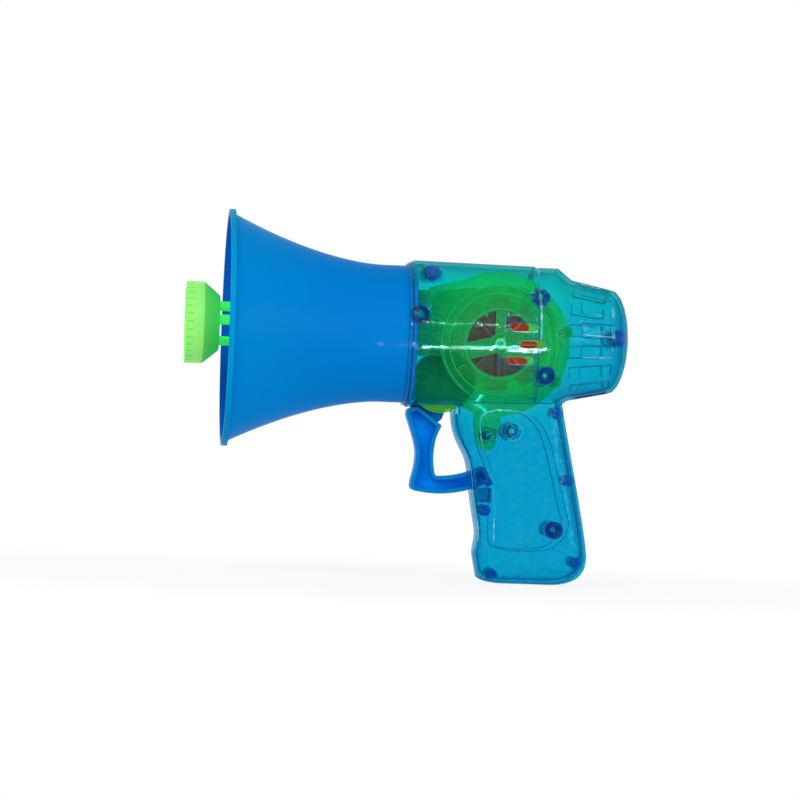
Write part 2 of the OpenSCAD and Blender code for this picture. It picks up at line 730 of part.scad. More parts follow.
module trigger() {
    web_to = layer1 + sector_w;
    sector_edge = arc(pivot, sector_module * sector_teeth,
        first_angle - sector_step * 3.5, first_angle + sector_step * 1.5, arc_steps);
    tooth_root = sector_module * (sector_teeth / 2 - dedendum_share * 1.5);
    color([0.03, 0.45, 0.8]) difference() {
        union() {
            slab(-trigger_w / 2, trigger_w / 2) polygon(soften(trigger_outline));
            slab(layer1, web_to) {
                polygon(soften(from_shares(web_shares, trigger_reach, pivot)));
                polygon(concat([pivot], arc(pivot, tooth_root, first_angle - sector_step * 3.5,
                    first_angle + sector_step * 1.5, arc_steps)));
                intersection() {
                    translate(pivot) polygon(gear_points(sector_module, sector_teeth, first_angle));
                    polygon(concat([pivot], sector_edge));
                }
            }
            slab(-trigger_w / 2 + trigger_rim, web_to)
                polygon(concat(arc(pivot, trigger_reach * lug_share, lug_from, arm_to, arc_steps),
                    arc(pivot, trigger_reach - trigger_rim, arm_to, lug_from, arc_steps)));
            rod(pivot, hub_r, layer1, plate_y - layer_gap);
            rod(spring_catch, wire_d, layer1, web_to + wire_d * 2.5);
        }
        slab(-trigger_w / 2 - over, layer1) offset(delta = -trigger_rim) polygon(soften(trigger_outline));
        slab(web_to, trigger_w / 2 + over) offset(delta = -trigger_rim) polygon(soften(trigger_outline));
        rod(pivot, pivot_r + run_fit, -over, plate_y);
    }
}

module pivot_pin() {
    color("silver") rod(pivot, pivot_r, chamber_wall - lobe_d, plate_end - part_gap);
}

// The return spring: a straight leg, the curls and another straight leg
curl_total = spring_turns * 360 - spring_end_turn;
curl_steps = spring_turns * curl_rings;
function coil_point(i) =
    let (a = spring_from + curl_total * i / curl_steps, p = pivot + coil_r * heading(a))
    [p[0], coil_y + coil_pitch * curl_total / 360 * i / curl_steps, p[1]];
function leg_point(i, a, l) = let (h = heading(a + 90) * l) coil_point(i) + [h[0], 0, h[1]];
spring_path = concat(
    [leg_point(0, spring_from, -leg_l)],
    [for (i = [0:curl_steps]) coil_point(i)],
    [leg_point(curl_steps, spring_from + curl_total, leg_l)]);
function leg_rest(i, a, l) = let (p = leg_point(i, a, l))
    [p[0], p[2]] + (wire_d * 1.5 + part_gap) * heading(a + 180);
spring_catch = leg_rest(0, spring_from, -leg_l * 0.8);
spring_hold = leg_rest(curl_steps, spring_from + curl_total, leg_l * 0.75);
spring_gap = min([for (i = [0:len(spring_path) - 1], j = [i + curl_rings / 2:1:len(spring_path) - 1])
    norm(spring_path[i] - spring_path[j])]) - wire_d;
echo(least_gap_of_the_spring_to_itself = spring_gap);

// A round tube of flat sides along a path that never runs straight across the seam
module wire(path, d, sides) {
    last = len(path) - 1;
    points = [for (i = [0:last]) let (
            along = unit(path[min(i + 1, last)] - path[max(i - 1, 0)]),
            out = unit(cross(along, [0, 1, 0])),
            up = cross(out, along))
        for (k = [0:sides - 1]) path[i] + d / 2 * (out * cos(360 * k / sides) + up * sin(360 * k / sides))];
    sides_faces = [for (i = [0:last - 1], k = [0:sides - 1], half = [0, 1])
        let (a = i * sides + k, b = i * sides + (k + 1) % sides)
        half == 0 ? [a, b, b + sides] : [a, b + sides, a + sides]];
    polyhedron(points, concat(sides_faces,
        [[for (k = [sides - 1:-1:0]) k]], [[for (k = [0:sides - 1]) last * sides + k]]));
}

module return_spring() {
    color([0.6, 0.6, 0.62]) wire(spring_path, wire_d, spring_sides);
}

// The handle's side outline drawn in by the wall
function handle_side(wall) = [for (p = handle_outline)
    let (middle = handle_at[0] + handle_d / 2 + (handle_at[1] - p[1]) * handle_lean_share)
    [middle + (p[0] - middle) * (1 - 2 * wall / handle_d),
        handle_at[1] + (p[1] - handle_at[1]) * (1 - wall / handle_h)]];

// A quarter of an oval, from its end on the first axis, and the same list run back on the other side
function quarter(at, a, b, steps) =
    [for (i = [0:steps]) at + [-a * cos(90 * i / steps), b * sin(90 * i / steps)]];
function mirrored(points) = [for (i = [len(points) - 1:-1:0]) [-points[i][0], points[i][1]]];

// Half of the handle: its side outline, rounded by its section and by its end view
module handle_form(wall, from) {
    side = handle_w / 2 - wall;
    edge = handle_edge_r - wall;
    nose = handle_nose - wall;
    back = handle_back - wall;
    front_x = handle_d * handle_front_share + wall;
    rear_x = handle_d - wall;
    bottom = handle_at[1] - handle_h * 1.005 + wall;
    intersection() {
        slab(from, side) polygon(handle_side(wall));
        translate([handle_at[0], 0, handle_at[1]]) rotate([0, -atan(handle_lean_share), 0])
            translate([0, 0, -handle_h * 1.2]) linear_extrude(height = handle_h * 1.4) polygon(concat(
                [[front_x, -over * 2]],
                quarter([front_x + nose, side - edge], nose, edge, arc_steps),
                mirrored(quarter([back - rear_x, side - edge], back, edge, arc_steps)),
                [[rear_x, -over * 2]]));
        translate([handle_at[0] - handle_d, 0, 0]) rotate([90, 0, 90]) linear_extrude(height = handle_d * 3)
            polygon(concat([[-over * 2, bottom]],
                [for (p = quarter([bottom + edge, side - edge], edge, edge, arc_steps)) [p[1], p[0]]],
                [[side + over, handle_at[1] + over], [-over * 2, handle_at[1] + over]]));
    }
}

// Half of the barrel's outside, drawn in by the wall for its hollow
module barrel_form(wall) {
    front_r = barrel_r - wall;
    rear_r = front_r - barrel_taper;
    collar_r = rear_r - collar_groove / 2;
    back = wall / 2;
    front = wall > 0
        ? [[0, barrel_x - over], [lip_r, barrel_x - over], [lip_r, flange_x - part_gap],
           [bell_neck_r + flange_h + part_gap, flange_x - part_gap],
           [bell_neck_r + flange_h + part_gap, flange_x + flange_w + part_gap],
           [front_r, flange_x + flange_w + part_gap]]
        : [[0, barrel_x], [barrel_r - flange_w, barrel_x], [barrel_r, barrel_x + flange_w * 2]];
    turned(concat(front,
        [[rear_r, collar_x - back], [rear_r - collar_groove, collar_x - back],
         [rear_r - collar_groove, collar_x + shell_wall / 2 + back],
         [wall > 0 ? rear_r - collar_groove : collar_r, collar_x + shell_wall / 2 + back],
         [wall > 0 ? rear_r - collar_groove : collar_r, slope_x - back],
         [knob_r - wall, knob_x - back]],
        [for (a = [0:15:90]) [(knob_end_r - wall) * cos(a), dome_x - back + (dome_l - back) * sin(a)]]),
        180);
}

module shell_half(near) {
    grip_y = handle_w / 2 - shell_wall / 2;
    seat = barrel_r * screw_seat_share;
    peg_l = barrel_r * peg_l_share;
    pin_l = barrel_r * pin_l_share;
    knob_slope = atan((knob_r - knob_end_r) / knob_l);
    slot_y = trigger_w / 2 + (near ? lobe_d - trigger_w / 4 : swing_gap * 4);
    translate([0, seam_gap / 2, 0]) difference() {
        union() {
            difference() {
                union() {
                    barrel_form(0);
                    handle_form(0, 0);
                    slab(handle_w / 2 - handle_edge_r / 2, handle_w / 2 + panel_h) polygon(panel_outline);
                    if (near) intersection() {
                        turned([[0, barrel_x], [barrel_r + land_h, barrel_x],
                            [barrel_r + land_h - barrel_taper, collar_x], [0, collar_x]], 180);
                        slab(barrel_r / 2, barrel_r * 2) polygon([for (s = land_shares) in_barrel(s)]);
                    }
                }
                barrel_form(shell_wall);
                handle_form(shell_wall, -over);
            }
            intersection() {
                barrel_form(0);
                union() {
                    for (p = barrel_bosses) rod(p, boss_r, 0, barrel_r);
                    if (near) {
                        for (p = cover_screws_at)
                            rod(p, boss_r, cover_end + part_gap, barrel_r);
                        rod(in_barrel(key_shares), boss_r, barrel_r * 0.76, barrel_r);
                    }
                }
            }
            for (p = grip_bosses) rod(p, boss_r, 0, grip_y);
            if (near) for (p = foot_screws_at) rod(p, boss_r, plate_t + part_gap, grip_y);
            for (p = pegs) rod(p, peg_wall_r, 0, peg_l);
            if (!near) for (p = pegs) rod(p, peg_r, -pin_l, over);
            slab(0, peg_l) translate(pivot + stop_shares * trigger_reach)
                square(stop_size_shares * trigger_reach);
        }
        box([flange_x + part_gap, -over, -barrel_r - over],
            [pivot[0] + lobe_r * 0.64, slot_y, pivot[1]]);
        intersection() {
            slab(-over, trigger_w / 2 + swing_gap) difference() {
                disc(pivot, trigger_reach + swing_gap);
                disc(pivot, trigger_reach - arm_h - swing_gap);
            }
            box([handle_at[0], -over * 2, pivot[1] - trigger_reach],
                [pivot[0] + trigger_reach * 0.534, handle_w, pivot[1] - trigger_reach / 2]);
        }
        for (i = [0:recess_count - 1]) {
            rotate([360 / recess_count * (i + 0.5), 0, 0])
                translate([knob_x + recess_w / 2, 0, knob_r - recess_d - recess_w / 2 * sin(knob_slope)])
                    rotate([0, knob_slope, 0])
                        box([0, -recess_w / 2, 0], [knob_l * 0.82, recess_w / 2, recess_w]);
        }
        for (p = concat(barrel_bosses, grip_bosses)) {
            if (near) rod(p, screw_r + fixed_fit, -over, screw_l - seat + over);
            if (!near) {
                rod(p, screw_r + part_gap, -over, seat + over);
                rod(p, screw_head_r + part_gap, seat, barrel_r + over);
            }
        }
        if (near) {
            for (p = vents) slab(barrel_r / 2, barrel_r * 2) polygon(vent_points(p));
            for (p = cover_screws_at)
                rod(p, small_screw_r + fixed_fit, 0, cover_end + barrel_r * 0.2);
            for (p = foot_screws_at)
                rod(p, small_screw_r + fixed_fit, 0, cover_y - plate_t);
            for (p = pegs) rod(p, peg_r + part_gap, -over, pin_l + over);
        }
    }
}

module left_shell() {
    color([0.05, 0.62, 0.75, 0.5]) mirror([0, 1, 0]) shell_half(true);
}

module right_shell() {
    color([0.05, 0.62, 0.75, 0.5]) shell_half(false);
}

// A screw along y, with its head at the far end and a cross in the head
module screw(at, r, head, head_h, from, to) {
    difference() {
        union() {
            rod(at, r, from, to);
            rod(at, head, to, to + head_h);
        }
        for (a = [45, 135]) slab(to + head_h / 2, to + head_h + over)
            translate(at) rotate(a) square([head * 1.2, head * 0.24], center = true);
    }
}

module shell_screws() {
    seat = barrel_r * screw_seat_share + seam_gap;
    color("silver") for (p = concat(barrel_bosses, grip_bosses))
        screw(p, screw_r, screw_head_r, screw_head_h, seat - screw_l, seat);
}

module housing_screws() {
    color("silver") for (p = concat(ears, foot_screws_at))
        screw(p, small_screw_r, small_head_r, small_head_h, plate_t * 2 - cover_y, part_gap / 3);
}

module plate_screws() {
    color("silver") for (p = posts)
        screw(p, small_screw_r, small_head_r, small_head_h, layer2, plate_end + part_gap / 3);
}

module cover_screws() {
    color("silver") for (p = cover_screws_at) {
        rod(p, small_screw_r, -cover_end - barrel_r * 0.18, -cover_y - small_head_h);
        cone(p, small_screw_r, small_head_r, -cover_y - small_head_h, -cover_y - part_gap / 3);
    }
}

left_shell();
right_shell();
bell();
dip_head();
air_tube();
blower_housing();
blower_cover();
impeller();
fan_shaft();
fan_pinion();
fan_bushes();
first_gear();
second_gear();
gear_axles();
gear_plate();
trigger();
pivot_pin();
return_spring();
shell_screws();
housing_screws();
cover_screws();
plate_screws();
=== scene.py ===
import json
import math

import bmesh
import bpy
from mathutils import Matrix, Vector


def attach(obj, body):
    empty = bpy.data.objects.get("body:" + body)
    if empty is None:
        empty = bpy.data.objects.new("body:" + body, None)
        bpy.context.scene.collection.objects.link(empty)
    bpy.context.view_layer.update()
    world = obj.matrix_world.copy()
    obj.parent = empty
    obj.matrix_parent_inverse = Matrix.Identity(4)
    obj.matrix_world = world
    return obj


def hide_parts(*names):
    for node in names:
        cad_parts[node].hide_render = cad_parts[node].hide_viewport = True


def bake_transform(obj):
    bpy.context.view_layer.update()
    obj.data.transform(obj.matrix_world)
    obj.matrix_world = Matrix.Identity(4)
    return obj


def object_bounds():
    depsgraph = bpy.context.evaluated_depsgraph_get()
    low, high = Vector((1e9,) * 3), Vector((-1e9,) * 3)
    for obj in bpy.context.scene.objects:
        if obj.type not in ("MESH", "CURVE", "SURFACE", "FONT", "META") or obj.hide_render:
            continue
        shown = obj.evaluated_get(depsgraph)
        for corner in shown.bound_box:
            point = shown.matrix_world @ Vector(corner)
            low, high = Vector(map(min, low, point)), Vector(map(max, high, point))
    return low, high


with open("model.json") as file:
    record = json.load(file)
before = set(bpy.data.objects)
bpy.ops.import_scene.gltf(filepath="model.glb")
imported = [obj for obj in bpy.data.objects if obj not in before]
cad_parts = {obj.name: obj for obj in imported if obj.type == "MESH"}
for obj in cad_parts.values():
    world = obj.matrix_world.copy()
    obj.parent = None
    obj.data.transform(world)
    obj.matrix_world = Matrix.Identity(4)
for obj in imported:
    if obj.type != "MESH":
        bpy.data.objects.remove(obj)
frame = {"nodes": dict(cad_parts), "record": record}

mm = 0.001
cadLow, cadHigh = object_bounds()
middle = (cadLow + cadHigh) / 2
nodes = frame["nodes"]
bodyOf = {node: body for body, held in frame["record"]["behaviour"]["bodies"].items() for node in held}
print("frame loaded,", len(nodes), "nodes")


class Signal:
    # one output of a shader node: arithmetic on it adds Math nodes
    def __init__(self, paint, socket):
        self.paint = paint
        self.socket = socket

    def math(self, operation, *values):
        return self.paint.add("ShaderNodeMath", {"operation": operation}, dict(enumerate(values)))

    def __add__(self, other):
        return self.math("ADD", self, other)

    def __sub__(self, other):
        return self.math("SUBTRACT", self, other)

    def __rsub__(self, other):
        return self.math("SUBTRACT", other, self)

    def __mul__(self, other):
        return self.math("MULTIPLY", self, other)

    def __pow__(self, other):
        return self.math("POWER", self, other)

    def __rpow__(self, other):
        return self.math("POWER", other, self)

    def __lt__(self, other):
        return self.math("LESS_THAN", self, other)

    def __gt__(self, other):        # the reflected form of <
        return self.math("GREATER_THAN", self, other)

    __radd__ = __add__
    __rmul__ = __mul__

    def largest(self, other):
        return self.math("MAXIMUM", self, other)

    def close(self, value, reach):
        # 1 within a reach of a value, else 0
        return self.math("COMPARE", self, value, reach)

    def capped(self):
        # held between 0 and 1
        return self.paint.add("ShaderNodeClamp", inputs={"Value": self})

    def above(self, look):
        # 0 up to a start, then rising by a gain up to 1
        return ((self - look["start"]) * look["gain"]).capped()

    def eased(self, start, end, low, high):
        # a soft change from low to high while the value goes from start to end
        return self.paint.add("ShaderNodeMapRange", {"interpolation_type": "SMOOTHSTEP"}, {
            "Value": self, "From Min": start, "From Max": end, "To Min": low, "To Max": high})


class Paint:
    # the nodes of a material or of the world
    def __init__(self, owner):
        owner.use_nodes = True
        self.owner = owner
        self.tree = owner.node_tree
        self.tree.nodes.clear()

    def add(self, kind, settings=None, inputs=None, output=0):
        # one node; a colour is given as three numbers
        made = self.tree.nodes.new(kind)
        for name, value in (settings or {}).items():
            setattr(made, name, value)
        for name, value in (inputs or {}).items():
            socket = made.inputs[name]
            if isinstance(value, Signal):
                self.tree.links.new(value.socket, socket)
            else:
                socket.default_value = (*value, 1) if socket.type == "RGBA" else value
        return Signal(self, made.outputs[output]) if made.outputs else made

    def place(self):
        return self.add("ShaderNodeTexCoord", output="Object")

    def noise(self, look):
        at = self.place()
        if "stretch" in look:
            at = self.add("ShaderNodeMapping", inputs={"Vector": at, "Scale": look["stretch"]})
        return self.add("ShaderNodeTexNoise", inputs={
            "Vector": at, "Scale": look["scale"], "Detail": look["detail"], "Roughness": look["roughness"]})

    def patches(self, look):
        # only the high places of a noise
        return self.noise(look).above(look)

    def vector(self, operation, first, second):
        output = "Value" if operation in ("DISTANCE", "DOT_PRODUCT") else "Vector"
        return self.add("ShaderNodeVectorMath", {"operation": operation}, {0: first, 1: second}, output)

    def mixed(self, share, first, second):
        # a share of the second colour; 6, 7 and 2 are the node's sockets for colours
        return self.add("ShaderNodeMix", {"data_type": "RGBA"}, {0: share, 6: first, 7: second}, 2)

    def covered(self, share, under, over):
        # a share of one shader over another
        return self.add("ShaderNodeMixShader", inputs={0: share, 1: under, 2: over})

    def bump(self, height, strength, depth):
        return self.add("ShaderNodeBump", inputs={
            "Height": height, "Strength": strength, "Distance": depth})

    def backdropRays(self):
        # 1 for the rays of the camera, of mirrors and of glass
        rays = ("Is Camera Ray", "Is Glossy Ray", "Is Transmission Ray")
        return anyOf([self.add("ShaderNodeLightPath", output=ray) for ray in rays])

    def finish(self, shader, output="ShaderNodeOutputMaterial"):
        self.add(output, inputs={"Surface": shader})
        return self.owner


# masks and changes over a surface
def anyOf(masks):
    # the largest of several masks
    found = masks[0]
    for mask in masks[1:]:
        found = found.largest(mask)
    return found


def fade(axis, start, end, **more):
    # settings for a change between two places on an axis, given in mm
    return dict(axis=axis, start=start * mm, end=end * mm, **more)


def awayFrom(paint, place):
    # distance from a line across the object, through a place on its side
    flat = paint.vector("MULTIPLY", paint.place(), (1, 0, 1))
    return paint.vector("DISTANCE", flat, (place.x, 0, place.z))


def shareOf(paint, zone):
    # how much of a change is here: it comes along an axis, or goes with the distance from a place
    if "around" in zone:
        return awayFrom(paint, zone["around"]).eased(zone["start"], zone["end"], zone["most"], 0.0)
    line = paint.add("ShaderNodeSeparateXYZ", inputs={0: paint.place()}, output=zone["axis"])
    return line.eased(zone["start"], zone["end"], zone.get("least", 0.0), zone.get("most", 1.0))


def spotMask(paint, spots):
    # 1 where a round boss or peg stands behind the skin, less over the hole in its middle
    masks = []
    for place in spots["places"]:
        away = awayFrom(paint, place)
        mask = away < spots["radius"]
        if "hole" in spots:
            mask = mask - (away < spots["hole"]) * spots["holeShare"]
        masks.append(mask)
    return anyOf(masks)


def ringMask(paint, rings):
    # 1 on thin circles
    half = rings["half"]
    return anyOf([awayFrom(paint, place).close(radius, half) for place, radius in rings["circles"]])


# what the opaque moulded pieces have in common; the start and gain of a noise cut its patches out
plasticLook = {
    "flow": {"scale": 22, "detail": 3, "roughness": 0.6, "stretch": (0.4, 1, 1),
             "start": 0.35, "gain": 0.56},        # long marks of the deeper colour
    "flowRough": 0.10,
    "speck": {"scale": 1600, "detail": 2, "roughness": 0.5, "start": 0.62, "gain": 1.0},
    "speckShare": 0.8,        # of the light colour
    "scuff": {"scale": 260, "detail": 4, "roughness": 0.7, "stretch": (0.25, 1, 1),
              "start": 0.55, "gain": 1.0},
    "scuffRough": 0.5,
    "grain": {"scale": 700, "detail": 2, "roughness": 0.5}, "grainShare": 0.4,
    "wave": {"scale": 90, "detail": 2, "roughness": 0.5}, "waveStrength": 0.10, "waveDepth": 0.3 * mm,
    # samples and share of the painted shade in creases
    "paintedShadeSamples": 8, "paintedShadeShare": 1.0,
    # no painted glow unless a look gives one
    "shine": 0.25, "ior": 1.5, "coat": 0.0, "coatRough": 0.07, "paintedGlow": 0.0, "bands": []}


def moulded(name, look):
    # opaque moulded plastic: faint flow marks, painted shade in creases and inside one end, a satin skin,
    # fine scuffs and a painted glow where a look gives one
    paint = Paint(bpy.data.materials.new(name))
    flow = paint.noise(look["flow"])
    colour = paint.mixed(flow.above(look["flow"]), look["colour"], look["deep"])
    for band in look["bands"]:
        colour = paint.mixed(shareOf(paint, band), colour, band["colour"])
    if "inside" in look:
        # painted shade: the surface that faces the X axis, near one end, takes a darker colour
        apart = paint.vector("MULTIPLY", paint.place(), (0, 1, 1))
        outward = paint.vector("DOT_PRODUCT", apart, paint.add("ShaderNodeNewGeometry", output="Normal"))
        facesIn = (outward < 0.0) * shareOf(paint, look["inside"])
        colour = paint.mixed(facesIn, colour, look["inside"]["colour"])
    colour = paint.mixed(paint.patches(look["speck"]) * look["speckShare"], colour, look["light"])
    # painted shade: the colour turns darker where ambient occlusion finds a crease or recess close by
    if "paintedShade" in look:
        settings = {"samples": look["paintedShadeSamples"], "only_local": True}
        exposed = paint.add("ShaderNodeAmbientOcclusion", settings, {"Distance": look["paintedShade"]}, "AO")
        colour = paint.mixed((1 - exposed).capped() * look["paintedShadeShare"], colour, look["paintedShadeColour"])
    scuff = paint.patches(look["scuff"])
    height = paint.noise(look["grain"]) * look["grainShare"] + paint.noise(look["wave"])
    return paint.finish(paint.add("ShaderNodeBsdfPrincipled", inputs={
        "Base Color": colour,
        "Roughness": flow * look["flowRough"] + scuff * look["scuffRough"] + look["rough"],
        "IOR": look["ior"],
        "Specular IOR Level": look["shine"],
        "Coat Weight": look["coat"],
        "Coat Roughness": look["coatRough"],
        # painted glow: the piece gives off light in its own colour by a set strength, though it is no lamp
        "Emission Color": colour,
        "Emission Strength": look["paintedGlow"],
        "Normal": paint.bump(height, look["waveStrength"], look["waveDepth"])}))


# what the see-through pieces have in common
clearLook = {
    "flow": {"scale": 16, "detail": 3, "roughness": 0.55, "stretch": (0.5, 1, 1)}, "flowMiddle": 0.5,
    "wave": {"scale": 70, "detail": 2, "roughness": 0.45, "stretch": (0.35, 1, 1)}, "waveDepth": 0.6 * mm,
    "ripple": {"scale": 520, "detail": 1, "roughness": 0.5},
    "patch": {"scale": 520, "detail": 3, "roughness": 0.7, "start": 0.49, "gain": 16.0},
    "broken": 0.0,        # the share of the gloss that only the patches have
    "turnPower": 3, "turnBody": 0.5, "rimPower": 5,        # higher powers keep to the outline
    "lineSamples": 6, "lineGain": 20.0,
    "pale": {"start": 0.12, "gain": 6.0}, "paintedLightSide": (-0.6, 0.0, 0.8),        # the side whose corners get the painted highlight: up and forward
    "paintedGlint": {"scale": 620, "detail": 3, "roughness": 0.8, "start": 0.8, "gain": 12.0},
    "gather": {"scale": 55, "detail": 2, "roughness": 0.5, "start": 0.46, "gain": 8.0},
    "paintedGlintColour": (0.8, 0.97, 1.0),        # painted glints, which show in the places that gather them
    "bodyFlowRough": 0.08, "glossFlowRough": 0.05, "bodyShine": 0.05,
    "spotShare": 1.0, "zones": [], "bands": [], "spots": []}


def wavyNormal(paint, look):
    # long waves and finer ripples, fading where the surface is calm
    height = paint.noise(look["wave"]) + paint.noise(look["ripple"]) * look["rippleShare"]
    if "calm" in look:
        height = height * shareOf(paint, look["calm"])
    return paint.bump(height, look["waveStrength"], look["waveDepth"])


def drawnEdges(paint, look):
    # the surface's corners as painted dark lines, standing in for how light bends at them; which of them
    # get a painted highlight, and painted glints on these
    rounded = paint.add("ShaderNodeBevel", {"samples": look["lineSamples"]}, {"Radius": look["lineWidth"]})
    plain = paint.add("ShaderNodeNewGeometry", output="Normal")
    line = ((1 - paint.vector("DOT_PRODUCT", rounded, plain)) * look["lineGain"]).capped()
    pale = paint.vector("DOT_PRODUCT", rounded, look["paintedLightSide"]).above(look["pale"])
    if "paintedHighlightFrom" in look:
        pale = pale * shareOf(paint, look["paintedHighlightFrom"])
    paintedGlint = paint.patches(look["paintedGlint"]) * paint.patches(look["gather"]) * pale
    return line, pale, paintedGlint * line


def tintedSkin(paint, look):
    # clear plastic with the tint of each zone
    skin = paint.add("ShaderNodeBsdfTransparent", inputs={"Color": look["tint"]})
    for zone in look["zones"]:
        other = paint.add("ShaderNodeBsdfTransparent", inputs={"Color": zone["tint"]})
        skin = paint.covered(shareOf(paint, zone), skin, other)
    return skin


def clearMoulded(name, look):
    # see-through moulded plastic: a tint that deepens toward the outline, painted dark edge lines, a
    # painted highlight with glints on corners that face up and forward, a wavy gloss
    paint = Paint(bpy.data.materials.new(name))
    flow = paint.noise(look["flow"])
    facing = paint.add("ShaderNodeLayerWeight", inputs={"Blend": 0.5}, output="Facing")
    turned = (facing ** look["turnPower"]) * look["turnShare"]

    # how much the plastic's own colour hides what is behind it, and that colour
    body = turned * look["turnBody"] + look["body"] + (flow - look["flowMiddle"]) * look["cloud"]
    if "thinner" in look:
        body = body - shareOf(paint, look["thinner"])
    colour = paint.mixed(flow, look["colour"], look["deep"])
    for band in look["bands"]:
        colour = paint.mixed(shareOf(paint, band), colour, band["colour"])
    for spots in look["spots"]:
        mark = spotMask(paint, spots)
        colour = paint.mixed(mark.capped(), colour, spots["colour"])
        body = body + mark * (spots["body"] * look["spotShare"])
    # painted highlight: pale thin circles
    if "rings" in look:
        mark = ringMask(paint, look["rings"])
        colour = paint.mixed(mark, colour, look["rings"]["colour"])
        body = body + mark * look["rings"]["body"]
    # painted light on the corners: dark lines where light bends, pale lines as a highlight on corners that
    # face up and forward, and painted glints
    line, pale, paintedGlint = drawnEdges(paint, look)
    colour = paint.mixed(line, colour, paint.mixed(pale, look["paintedEdgeShadeColour"], look["paintedHighlightColour"]))
    colour = paint.mixed(paintedGlint, colour, look["paintedGlintColour"])
    body = body + line * look["lineBody"] + paintedGlint

    thick = paint.add("ShaderNodeBsdfTransparent", inputs={"Color": look["thickTint"]})
    clear = paint.covered(turned.capped(), tintedSkin(paint, look), thick)
    solid = paint.add("ShaderNodeBsdfPrincipled", inputs={
        "Base Color": colour,
        "Roughness": flow * look["bodyFlowRough"] + look["rough"],
        "Specular IOR Level": look["bodyShine"]})
    gloss = paint.add("ShaderNodeBsdfPrincipled", inputs={
        "Base Color": look["glossColour"],
        "Metallic": 1.0,
        "Roughness": flow * look["glossFlowRough"] + look["rough"],
        "Normal": wavyNormal(paint, look)})
    patchy = paint.patches(look["patch"]) * look["broken"] + (1 - look["broken"])
    shine = (facing ** look["rimPower"]) * look["rimShine"] + patchy * look["shine"]
    return paint.finish(paint.covered(shine.capped(), paint.covered(body.capped(), clear, solid), gloss))


# what the metal pieces have in common
metalLook = {
    "lines": {"scale": 500, "detail": 2, "roughness": 0.5, "stretch": (1, 0.08, 1)},
    "patch": {"scale": 160, "detail": 3, "roughness": 0.6},
    "lineRough": 0.2, "lineStrength": 0.1, "lineDepth": 0.1 * mm}


def metal(name, look):
    # drawn or turned metal: lines along its length and a few dull patches
    paint = Paint(bpy.data.materials.new(name))
    lines = paint.noise(look["lines"])
    return paint.finish(paint.add("ShaderNodeBsdfPrincipled", inputs={
        "Base Color": paint.mixed(paint.noise(look["patch"]), look["colour"], look["deep"]),
        "Metallic": 1.0,
        "Roughness": lines * look["lineRough"] + look["rough"],
        "Normal": paint.bump(lines, look["lineStrength"], look["lineDepth"])}))


def solidsOf(node, weld=0.01 * mm):
    # the middle of each separate solid of a node, from the front to the rear
    mesh = bmesh.new()
    mesh.from_mesh(nodes[node].data)
    bmesh.ops.remove_doubles(mesh, verts=mesh.verts, dist=weld)
    left = set(mesh.verts)
    middles = []
    while left:
        reached = [left.pop()]
        corners = []
        while reached:
            vert = reached.pop()
            corners.append(vert.co.copy())
            for edge in vert.link_edges:
                other = edge.other_vert(vert)
                if other in left:
                    left.discard(other)
                    reached.append(other)
        low = Vector([min(c[i] for c in corners) for i in range(3)])
        high = Vector([max(c[i] for c in corners) for i in range(3)])
        middles.append((low + high) / 2)
    mesh.free()
    return sorted(middles, key=lambda m: (round(m.x, 5), round(m.z, 5)))        # 5 digits: 0.01 mm


# what stands behind the clear skin: read from the frame, or given in the part's own millimetres
frontBoss, gripBoss, footBoss, knobBoss = solidsOf("shell_screws")
ringBosses = [footBoss] + solidsOf("cover_screws")
keyBoss = Vector((80.82, 0, 8.22)) * mm
pegs = [Vector((x, 0, z)) * mm for x, z in
        [(147.96, -59.71), (152.33, -94.56), (142.07, -31.17), (116.50, -100.8), (112.59, -73.6)]]
fanMiddle = solidsOf("fan_shaft")[0]
pivotMiddle = solidsOf("pivot_pin")[0]

# each piece's settings and its finish; smooth, in degrees, and round are for the softened copies below
finishes = {}

